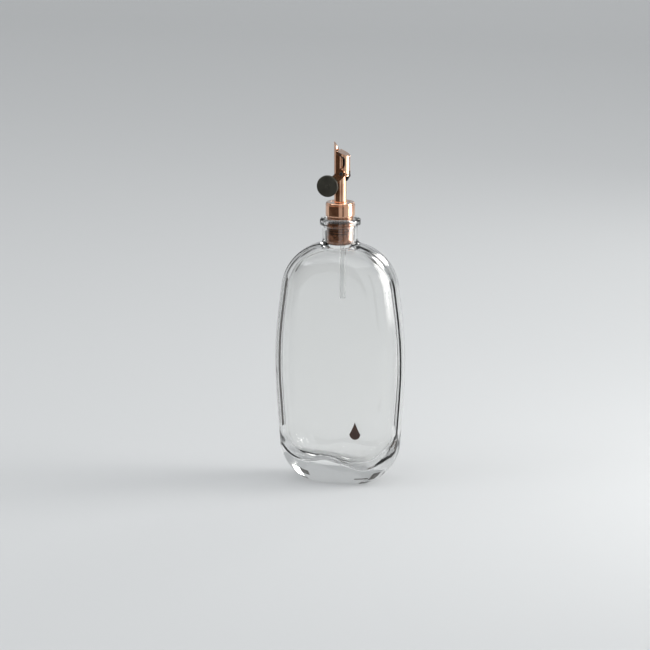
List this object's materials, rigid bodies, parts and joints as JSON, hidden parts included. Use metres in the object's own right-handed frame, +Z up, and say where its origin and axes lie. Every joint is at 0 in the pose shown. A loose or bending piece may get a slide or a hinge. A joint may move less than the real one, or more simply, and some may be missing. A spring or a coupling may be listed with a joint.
{
  "type": "oil and vinegar bottle with flap pourer",
  "caption": "Flat clear glass bottle with softly rounded shoulders and thick base, and a copper pourer with beaked spout and weighted flap that falls shut.",
  "frame": {"origin": "centre of the bottle's footprint, on the surface it stands on", "axes": "+Z up along the neck, X along the bottle's width with the spout's beak towards -X and the flap's hinge towards +X, the broad face with the weight disc looks along -Y"},
  "size_m": [0.0962, 0.046, 0.2542],
  "materials": {
    "clear_glass": "clear pressed glass, fire polished",
    "copper_plate": "polished copper plating with a lacquer, faint wipe marks",
    "clear_plastic": "thin clear extruded tube",
    "black_plastic": "moulded black plastic",
    "black_rubber": "soft black silicone",
    "black_coat": "satin black coating over a metal slug"
  },
  "bodies": {
    "bottle": {"glass_bottle": "clear_glass", "stopper": "copper_plate", "air_tube": "clear_plastic", "collar": "copper_plate", "spout_tube": "copper_plate", "hinge_bracket": "black_plastic", "hinge_pin": "copper_plate"},
    "flap": {"flap_hood": "copper_plate", "flap_seal": "black_rubber", "weight_arm": "copper_plate", "arm_rivet": "black_plastic", "weight_disc": "black_coat", "weight_rivet": "black_coat"}
  },
  "joints": [
    {"name": "flap_hinge", "type": "hinge", "parent": "bottle", "child": "flap", "pos_m": [0.006, 0, 0.2309], "axis": [0, 1, 0], "range_deg": [0, 80]}
  ]
}
